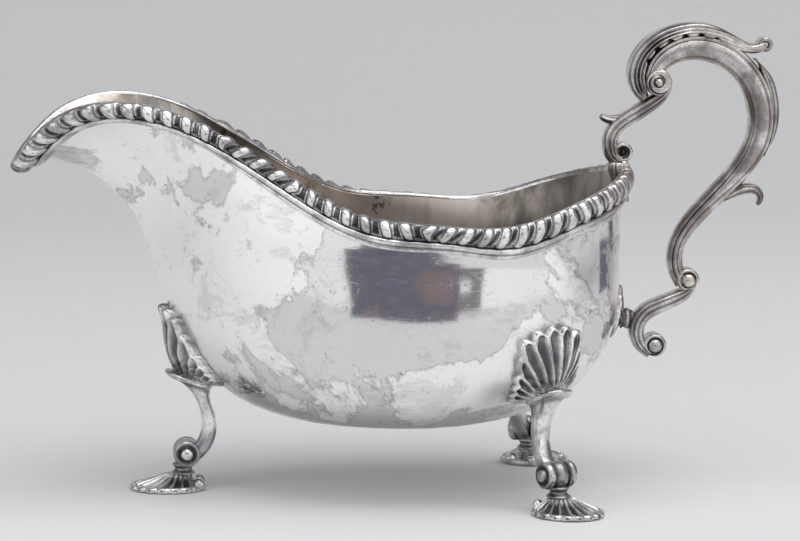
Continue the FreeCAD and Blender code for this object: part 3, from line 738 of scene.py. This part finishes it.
def patch(shape, centre, across, outline, rise, turns, steps, tilt=0.0):
    """Plate on the bowl round `centre`: outline(turn) is its reach, rise(turn, share) gives
    its height and its darkening by patina and painted shade, and `tilt` turns it, in radians."""
    across = np.array(across, float)
    level_out = np.cross(across, [0, 0, 1])
    foot, out = on_skin(centre)
    up = unit(np.cross(out, across))
    if up[2] < 0:
        up = -up
    turn = circle(turns)
    front, back, patina_and_shade_rows = [], [], []
    for share in np.linspace(0.02, 1, steps):
        reach = outline(turn) * share
        flat = (foot + across * (np.sin(turn + tilt) * reach)[:, None]
                + up * (np.cos(turn + tilt) * reach)[:, None])
        base = np.array([on_skin(p)[0] for p in flat]) + out * PATCH_BED
        height, patina_and_shade = rise(turn, share)
        front.append(base + level_out * height[:, None])
        back.append(base)
        patina_and_shade_rows.append(patina_and_shade)
    front, back, patina_and_shade_rows = np.array(front), np.array(back), np.array(patina_and_shade_rows)
    middle = [back[-1] + (front[-1] - back[-1]) * w for w in (0.8, 0.5, 0.2)]
    under = back[::-4]
    # The patch's sides get a steady painted shade of 0.3; the underside gets none.
    edge_patina_and_shade, under_patina_and_shade = np.full((len(middle), turns), 0.3), np.zeros((len(under), turns))
    shape.tube(np.concatenate([front, middle, under]), np.concatenate([patina_and_shade_rows, edge_patina_and_shade, under_patina_and_shade]))


def make_plate(material):
    """Veined oval plate on the back of the bowl, and the ringed collar that stands on it."""
    def outline(turn):
        oval = 1 / np.hypot(np.sin(turn) / PLATE_HALF_WIDTH, np.cos(turn) / PLATE_HALF_HEIGHT)
        return oval * (1 + 0.03 * np.cos(8 * turn))

    def rise(turn, share):
        lip = bump(share, 0.93, 0.06)
        moat = bump(share, 0.78, 0.07)
        veins = 0.5 + 0.5 * np.cos(8 * turn)
        inner = step(share, 0.35, 0.5) * (1 - step(share, 0.66, 0.78))
        edge = 0.75
        height = (edge + (PLATE_THICKNESS - edge) * (1 - share ** 2.2) + 0.3 * lip - 0.4 * moat
                  - 0.3 * veins * inner)
        return height, np.clip(moat + 0.6 * veins * inner, 0, 1)

    shape = Shape()
    patch(shape, PLATE_CENTRE, (0, 1, 0), outline, rise, turns=192, steps=40)
    shape.build("lower_rosette", material, "handle_lower_plate")
    shape = Shape()
    near, far, z, radius = BOSS
    rows = fine_profile([
        (0, 0.1, 0), (0, 1, 0.5), (0.1, 1.0, 0.9), (0.22, 0.8, 0.9), (0.34, 0.86, 0.5), (0.46, 1.0, 0),
        (0.62, 0.98, 0.2), (0.74, 0.78, 0.9), (0.9, 0.76, 0.6), (1.0, 0.78, 0.6), (1.0, 0.1, 0)], 60)
    turned(shape, handle_place, near, z, rows * [far - near, radius, 1], axis="out")
    shape.build("lower_collar", material, "handle_lower_boss")


# ------------------------------------------------------------------------ legs
FAN_LOW = 6.2                              # how far below the middle the flutes of a shell meet
SHELL_FLUTES = 16                          # in half a turn
SHELL_TILT = {"left": 0.12, "right": -0.12}   # radians, towards the lip
SHELL_TALL = {"front": 0.12}               # share added to the reach upwards


def shell_outline(turn, tall):
    """Reach of a shell: narrow below, lobed above."""
    up = 0.5 + 0.5 * np.cos(turn)
    reach = SHELL_RADIUS_DOWN + (SHELL_RADIUS_UP - SHELL_RADIUS_DOWN) * up ** 0.8
    side = np.abs(np.sin(turn)) + 1e-9
    reach = np.minimum(reach, SHELL_HALF_WIDTH / side)
    notch = (1 - from_rib_at(fan_turn(turn, reach))) ** 2
    return reach * (1 + up * (0.05 - 0.13 * notch) + tall * up ** 4)


def fan_turn(turn, reach):
    """Direction of a place on the shell, seen from where the flutes meet."""
    return np.arctan2(np.sin(turn) * reach, np.cos(turn) * reach + FAN_LOW)


def from_rib_at(turn):
    """0 on a rib and 1 in the middle of a flute."""
    return 1 - np.abs(((SHELL_FLUTES * turn / math.pi + 0.5) % 1) - 0.5) * 2


def shell_rise_for(depth, tall):
    """Height and darkening (patina and painted shade) of a shell that stands `depth` off the bowl at
    its base.
    """
    def rise(turn, share):
        up = 0.5 + 0.5 * np.cos(turn)
        flat = depth + (SHELL_THICKNESS - depth) * share
        reach = shell_outline(turn, tall) * share
        seen = fan_turn(turn, reach)
        from_rib = from_rib_at(seen)
        flute = np.sqrt(np.clip(1 - (1 - step(from_rib, 0.22, 0.95)) ** 2, 0, 1))
        far = np.hypot(np.sin(turn) * reach, np.cos(turn) * reach + FAN_LOW)
        ends = step(far, FAN_LOW - 1.0, FAN_LOW + 2.5)
        ends = ends * (1 - step(share, 0.80 + 0.08 * flute, 0.90 + 0.05 * flute))
        fan = step(np.cos(seen), -0.25, 0.0)
        dip = flute * ends * fan
        edge = min(max(share - 0.94, 0) / 0.06, 0.99)
        height = flat * (1 + 0.05 * up) - (0.4 + share) * dip + 0.3 * bump(share, 0.93, 0.04) * up
        height = height - (1 - math.sqrt(1 - edge * edge))
        # Dark flutes, patina and painted shade, and a painted shade of 0.3 over the part below where
        # the flutes meet.
        return height, 0.82 * dip + 0.3 * (1 - fan)
    return rise


def make_leg(leg, material):
    """One leg: shell, cabriole with a lip at its top, roll with buttons, spool and foot."""
    name = leg[0]
    place = leg_place(leg)
    across = place(0, 1, 0) - place(0, 0, 0)
    depth = SHELL_DEPTH - SHELL_LEAN_SHARE * leg[4]
    shape = Shape()
    tall = SHELL_TALL.get(name, 0.0)
    patch(shape, place(SHELL_CENTRE_OUT, 0, SHELL_CENTRE_Z), across,
          lambda turn: shell_outline(turn, tall), shell_rise_for(depth, tall),
          turns=432, steps=44, tilt=SHELL_TILT.get(name, 0.0))
    shape.build(name + "_scallop", material, name + "_leg_shell")

    def back(z):
        return leg[4] * max(z - KNUCKLE_Z, 0) / (SHELL_CENTRE_Z - KNUCKLE_Z)

    def band(a, b, s):
        side = step(np.abs(b), 0.8, 1.0)
        hollow = (1 - step(np.abs(a), 0.5, 0.8)) * side * (0.4 + 0.6 * step(s, 0.1, 0.3))
        lip = bump(s, 0.03, 0.035)
        rise = 0.65 * lip - 0.14 * hollow * (1 - lip)
        # Painted shade: a dark line just under the lip, a dark end where the scroll meets the roll,
        # and faint dark lines along the edges of the sides.
        return rise, np.clip(0.25 * bump(np.abs(a), 0.72, 0.1) * side + 0.8 * step(s, 0.86, 0.96)
                             + 0.5 * bump(s, 0.11, 0.03), 0, 1)

    shape = Shape()
    edges = [(o1 - back(z1), z1, o2 - back(z2), z2, d) for o1, z1, o2, z2, d in LEG_SCROLL]
    sweep(shape, edges, place, 160, 96, band, domes=(1.9, 0.3))
    shape.build(name + "_cabriole", material, name + "_leg_scroll")
    shape = Shape()
    half = fine_profile([
        (0.0, 3.75, 0.1), (0.7, 3.7, 0.1), (1.5, 3.4, 0.2), (2.0, 2.9, 1.0), (2.3, 2.9, 1.0),
        (2.5, 3.5, 0.3), (3.2, 3.75, 0.1), (4.1, 3.6, 0.1), (4.55, 3.2, 0.2), (4.6, 2.6, 0.9),
        (4.35, 2.2, 1.0), (4.4, 1.75, 1.0), (4.9, 1.7, 0.3), (5.4, 1.4, 0), (5.65, 0.8, 0),
        (5.7, 0.02, 0)], 90)
    profile = np.concatenate([half[::-1] * [-1, 1, 1], half[1:]])
    turned(shape, place, 0, KNUCKLE_Z, profile)
    shape.build(name + "_roll", material, name + "_leg_knuckle")
    shape = Shape()
    turned(shape, place, ANKLE_OUT, 0, fine_profile([
        (4.2, 0.1, 0), (4.2, 3.4, 0.3), (4.7, 3.3, 0.3), (5.2, 2.4, 0.8), (5.8, 2.2, 0.6),
        (6.3, 2.5, 0.9), (6.6, 3.0, 0.2), (7.1, 3.0, 0.3), (7.4, 2.3, 0.9), (7.6, 0.1, 0)],
        60), axis="up")
    shape.build(name + "_spool", material, name + "_leg_ankle")
    make_foot(name, place, material)


FOOT_FLUTES = 9                            # in half a turn
CURL_OUT, CURL_ACROSS, CURL_Z, CURL_RADIUS = -3.3, 3.4, 1.75, 1.7
FOOT_ROWS = [                              # share of the reach, share of the height
    (0.02, 1.0), (0.2, 1.0), (0.34, 0.94), (0.46, 0.82), (0.6, 0.66), (0.74, 0.52), (0.86, 0.42),
    (0.95, 0.36), (1.0, 0.27), (1.0, 0.12), (0.97, 0.0), (0.6, 0.0), (0.02, 0.0),
]


def make_foot(name, place, material):
    """Fluted scallop lying on the table, with a thick pitted edge and two curls at the heel."""
    shape = Shape()
    columns = 360
    turn = circle(columns)
    rows = fine_profile(FOOT_ROWS, 70)
    share, height = rows[:, :1], rows[:, 1:]
    toe = 0.5 + 0.5 * np.cos(turn)
    fan = step(toe, 0.06, 0.25)
    from_rib = 1 - np.abs(((FOOT_FLUTES * turn / math.pi + 0.5) % 1) - 0.5) * 2
    flute = step(from_rib, 0.1, 0.7)
    reach = share * (1 + 0.05 * fan * (np.abs(np.cos(FOOT_FLUTES * turn)) - 0.5))
    middle = (FOOT_TOE + FOOT_HEEL) / 2
    half_length = (FOOT_TOE - FOOT_HEEL) / 2
    out = ANKLE_OUT + (middle + half_length * np.cos(turn) - ANKLE_OUT) * reach
    upper = step(height, 0.3, 0.42)
    dip = flute * fan * step(share, 0.25, 0.45) * (1 - step(share, 0.86, 0.93)) * upper
    pits = fan * bump(from_rib, 1.0, 0.28) * bump(height, 0.2, 0.07) * (share > 0.9)
    z = height * FOOT_HEIGHT - 1.25 * dip
    out = out - 0.35 * pits * np.cos(turn)
    width = FOOT_HALF_WIDTH * np.sin(turn) * reach - 0.35 * pits * np.sin(turn)
    shape.tube(place(out, width, np.clip(z, 0, None)), np.clip(0.9 * dip + pits, 0, 1))
    for side in (1, -1):
        theta = np.linspace(0.02, math.pi - 0.02, 24)[:, None]
        phi = circle(36)
        shape.tube(place(CURL_OUT + CURL_RADIUS * np.sin(theta) * np.cos(phi),
                         side * CURL_ACROSS + CURL_RADIUS * np.sin(theta) * np.sin(phi),
                         CURL_Z + CURL_RADIUS * np.cos(theta)))
    shape.build(name + "_foot_scallop", material, name + "_foot_shell")


# ------------------------------------------------------------------- materials
class Nodes:
    """Short ways to make shader nodes."""

    def __init__(self, name):
        self.material = bpy.data.materials.new(name)
        self.material.use_nodes = True
        self.tree = self.material.node_tree
        self.shader = self.tree.nodes["Principled BSDF"]
        self.place = self.add("ShaderNodeTexCoord").outputs["Object"]

    def add(self, kind, **inputs):
        """A new node; in the names of its inputs _ stands for a space."""
        node = self.tree.nodes.new(kind)
        for key, value in inputs.items():
            node.inputs[key.replace("_", " ")].default_value = value
        return node

    def link(self, source, target):
        if isinstance(source, (int, float)):
            target.default_value = source
        else:
            self.tree.links.new(source, target)

    def noise(self, scale, detail=4.0, rough=0.6, distortion=0.0, stretch=None):
        node = self.add("ShaderNodeTexNoise", Scale=scale, Detail=detail, Roughness=rough,
                        Distortion=distortion)
        source = self.place
        if stretch:
            mapping = self.add("ShaderNodeMapping", Scale=stretch)
            self.link(self.place, mapping.inputs["Vector"])
            source = mapping.outputs["Vector"]
        self.link(source, node.inputs["Vector"])
        return node.outputs["Fac"]

    def near(self, centre, close, far):
        """1 within `close` of a place on the object, 0 beyond `far`."""
        node = self.add("ShaderNodeVectorMath")
        node.operation = "DISTANCE"
        self.link(self.place, node.inputs[0])
        node.inputs[1].default_value = centre
        return self.ramp(node.outputs["Value"], close, far, 1.0, 0.0)

    def attribute(self, name):
        node = self.add("ShaderNodeAttribute")
        node.attribute_name = name
        return node.outputs["Fac"]

    def maths(self, kind, first, second=0.0, clamp=False):
        node = self.add("ShaderNodeMath")
        node.operation = kind
        node.use_clamp = clamp
        self.link(first, node.inputs[0])
        self.link(second, node.inputs[1])
        return node.outputs[0]

    def times(self, first, second):
        return self.maths("MULTIPLY", first, second)

    def plus(self, first, second):
        return self.maths("ADD", first, second)

    def ramp(self, value, low, high, to_low=0.0, to_high=1.0):
        node = self.add("ShaderNodeMapRange", From_Min=low, From_Max=high, To_Min=to_low,
                        To_Max=to_high)
        node.interpolation_type = "SMOOTHSTEP"
        self.link(value, node.inputs["Value"])
        return node.outputs["Result"]

    def mix(self, share, first, second):
        node = self.add("ShaderNodeMix")
        node.data_type = "RGBA"
        self.link(share, node.inputs["Factor"])
        for source, socket in ((first, node.inputs["A"]), (second, node.inputs["B"])):
            if isinstance(source, tuple):
                socket.default_value = (*source, 1.0)
            else:
                self.link(source, socket)
        return node.outputs["Result"]

    def bump(self, height, strength, distance):
        node = self.add("ShaderNodeBump", Strength=strength, Distance=distance)
        self.link(height, node.inputs["Height"])
        self.link(node.outputs["Normal"], self.shader.inputs["Normal"])


def sheet_silver():
    """Sheet silver: frosted by old cleaning, polished in places, brown inside."""
    n = Nodes("silver_sheet")
    n.shader.inputs["Metallic"].default_value = 1.0
    worn_place = n.near((0.006, -0.045, 0.066), 0.020, 0.034)
    low_place = n.near((0.0, 0.0, 0.018), 0.030, 0.060)
    lip_place = n.near((-0.086, -0.014, 0.092), 0.012, 0.034)
    field = n.noise(24.0, 10.0, 0.66, 0.5)
    for place, cut in ((worn_place, 0.30), (low_place, 0.06), (lip_place, 0.07)):
        field = n.maths("SUBTRACT", field, n.times(place, cut))
    frost = n.ramp(field, 0.432, 0.440)
    border = n.times(n.ramp(field, 0.427, 0.434), n.ramp(field, 0.434, 0.462, 1.0, 0.0))
    speckle = n.ramp(n.noise(700.0, 4.0, 0.75), 0.56, 0.68)
    blotch = n.ramp(n.noise(48.0, 12.0, 0.80, 0.6), 0.535, 0.565)
    scratch = n.ramp(n.noise(260.0, 6.0, 0.6, 0.0, (1.0, 1.0, 7.0)), 0.55, 0.75)
    clean = n.mix(frost, (0.74, 0.735, 0.735), (0.97, 0.955, 0.925))
    dulled = n.mix(n.times(blotch, 0.30), clean, (0.46, 0.45, 0.45))
    ragged = n.times(border, n.ramp(speckle, 0.0, 1.0, 0.45, 1.0))
    edged = n.mix(ragged, dulled, (0.24, 0.23, 0.22))
    specked = n.mix(n.times(speckle, n.plus(n.times(blotch, 0.35), 0.12)),
                    edged, (0.30, 0.29, 0.29))
    inside = n.attribute("inside")
    stripes = n.noise(44.0, 6.0, 0.6, 0.3, (1.0, 1.0, 0.2))
    brown = n.mix(n.ramp(stripes, 0.42, 0.56), (0.12, 0.10, 0.085), (0.50, 0.445, 0.40))
    tarnished = n.mix(n.times(inside, 0.92), specked, brown)
    n.link(tarnished, n.shader.inputs["Base Color"])
    rough = n.plus(n.ramp(frost, 0.0, 1.0, 0.085, 0.34), n.times(scratch, 0.08))
    rough = n.plus(rough, n.times(inside, 0.10))
    n.link(rough, n.shader.inputs["Roughness"])
    height = n.plus(n.times(scratch, 0.5), n.times(speckle, 0.6))
    height = n.plus(height, frost)
    n.bump(height, 0.15, 0.00005)
    return n.material


def cast_silver():
    """Cast and chased silver: bright where rubbed, dark in the hollows with patina and painted shade,
    a little granular.
    """
    n = Nodes("silver_cast")
    n.shader.inputs["Metallic"].default_value = 1.0
    grain = n.noise(1500.0, 3.0, 0.7)
    cloud = n.noise(120.0, 5.0, 0.6, 0.3)
    # The dark mask turns the colour nearly black: patina in the hollows, and painted shade in creases,
    # under overhangs and on faces turned from the light.
    patina_and_shade = n.attribute("patina_and_shade")
    patina_and_shade_amount = n.maths("MULTIPLY", patina_and_shade, n.ramp(cloud, 0.25, 0.6, 0.75, 1.05), clamp=True)
    cool = n.mix(n.ramp(cloud, 0.40, 0.64), (0.90, 0.895, 0.885), (0.44, 0.435, 0.45))
    warm = n.mix(n.ramp(cloud, 0.38, 0.62), (0.86, 0.83, 0.79), (0.40, 0.355, 0.335))
    bright = n.mix(n.near((0.085, 0.0, 0.090), 0.034, 0.056), cool, warm)
    colour = n.mix(n.maths("POWER", patina_and_shade_amount, 0.8), bright, (0.05, 0.045, 0.05))
    colour = n.mix(n.ramp(grain, 0.5, 0.68, 0.0, 0.5), colour, (0.18, 0.155, 0.155))
    n.link(colour, n.shader.inputs["Base Color"])
    rough = n.plus(n.ramp(cloud, 0.3, 0.7, 0.17, 0.28), n.times(patina_and_shade_amount, 0.22))
    n.link(rough, n.shader.inputs["Roughness"])
    n.bump(grain, 0.25, 0.00005)
    return n.material


# ----------------------------------------------------------------------- stage
def floor_paper():
    material = bpy.data.materials.new("floor_paper")
    material.use_nodes = True
    shader = material.node_tree.nodes["Principled BSDF"]
    shader.inputs["Base Color"].default_value = (0.80, 0.80, 0.808, 1)
    shader.inputs["Roughness"].default_value = 0.6
    return material


def glowing_card():
    """Dark bluish card with reddish smudges, as the silver shows it; it glows faintly in its own
    colour, a painted light that brightens its reflection.
    """
    n = Nodes("glowing_card")
    smudge = n.ramp(n.noise(17.0, 3.0, 0.6), 0.50, 0.58)
    colour = n.mix(smudge, (0.092, 0.098, 0.125), (0.160, 0.125, 0.125))
    n.link(colour, n.shader.inputs["Base Color"])
    # Painted light: the card glows in its own colour, so its reflection is brighter than a lit card
    # would give.
    n.link(colour, n.shader.inputs["Emission Color"])
    n.shader.inputs["Emission Strength"].default_value = 0.9
    n.shader.inputs["Roughness"].default_value = 0.9
    return n.material


def stage_mesh(name, vertices, faces, material):
    mesh = bpy.data.meshes.new(name)
    mesh.from_pydata(vertices, [], faces)
    mesh.materials.append(material)
    mesh.polygons.foreach_set("use_smooth", [True] * len(mesh.polygons))
    obj = bpy.data.objects.new(name, mesh)
    bpy.context.scene.collection.objects.link(obj)
    return obj


def make_stage():
    """Pale floor that sweeps up behind the boat, and dark cards for the silver to reflect."""
    bend_y, bend_radius, bend_parts = 0.7, 0.9, 12
    profile = [(-2.6, 0.0), (bend_y, 0.0)]
    for k in range(1, bend_parts + 1):
        turn = math.radians(90 * k / bend_parts)
        profile.append((bend_y + bend_radius * math.sin(turn), bend_radius * (1 - math.cos(turn))))
    profile.append((bend_y + bend_radius, 3.0))
    vertices = [(x, y, z) for y, z in profile for x in (-2.5, 2.5)]
    faces = [(2 * k, 2 * k + 1, 2 * k + 3, 2 * k + 2) for k in range(len(profile) - 1)]
    stage_mesh("floor", vertices, faces, floor_paper())
    dark = glowing_card()
    cards = {
        "card_front": [(-0.27, -0.55, -0.02), (0.105, -0.55, -0.02), (0.105, -0.55, 0.145),
                       (-0.27, -0.55, 0.145)],
        "card_right": [(0.45, 0.12, 0.0), (0.45, 0.34, 0.0), (0.45, 0.34, 0.05), (0.45, 0.12, 0.05)],
    }
    for name, corners in cards.items():
        card = stage_mesh(name, corners, [(0, 1, 2, 3)], dark)
        card.visible_camera = False
        card.visible_shadow = False
        card.visible_diffuse = False


def area_light(name, place, target, size, power):
    light = bpy.data.lights.new(name, "AREA")
    light.shape = "RECTANGLE"
    light.size, light.size_y = size
    light.energy = power
    obj = bpy.data.objects.new(name, light)
    bpy.context.scene.collection.objects.link(obj)
    obj.location = place
    obj.rotation_euler = (Vector(target) - Vector(place)).to_track_quat("-Z", "Y").to_euler()


def make_lights():
    world = bpy.data.worlds.new("studio")
    bpy.context.scene.world = world
    world.use_nodes = True
    back = world.node_tree.nodes["Background"]
    back.inputs["Color"].default_value = (0.26, 0.26, 0.27, 1)
    back.inputs["Strength"].default_value = 1.0
    area_light("front_left", (-1.15, -0.95, 0.6), (0, 0, 0.1), (1.7, 1.4), 5.5)
    area_light("front_right", (1.05, -1.05, 0.6), (0, 0, 0.1), (1.5, 1.4), 5.2)
    area_light("front_high", (0.0, -1.45, 0.75), (0, 0, 0.1), (0.9, 1.2), 2.4)
    area_light("top", (0.25, -0.3, 1.35), (0.1, -0.1, 0.0), (1.5, 1.3), 13.6)
    bpy.context.scene.view_settings.view_transform = "Standard"


def make_camera():
    """Camera a little to the left of the boat's side, looking slightly down."""
    place = Vector((-0.0703, -0.9798, 0.1810))
    target = Vector((0.0011, 0.0, 0.0594))
    camera = bpy.data.cameras.new("camera")
    camera.lens = 165.3
    camera.sensor_width = 36
    camera.clip_start = 0.01
    obj = bpy.data.objects.new("camera", camera)
    bpy.context.scene.collection.objects.link(obj)
    turn = (target - place).to_track_quat("-Z", "Y").to_matrix().to_4x4()
    roll = Matrix.Rotation(math.radians(0.48), 4, "Z")
    obj.matrix_world = Matrix.Translation(place) @ turn @ roll
    bpy.context.scene.camera = obj


SHEET = sheet_silver()
CAST = cast_silver()
make_bowl(SHEET)
make_border(CAST)
make_handle(CAST)
for each_leg in LEGS:
    make_leg(each_leg, CAST)
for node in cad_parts.values():
    node.data.materials.clear()
    node.data.materials.append(CAST)
make_stage()
make_lights()
make_camera()
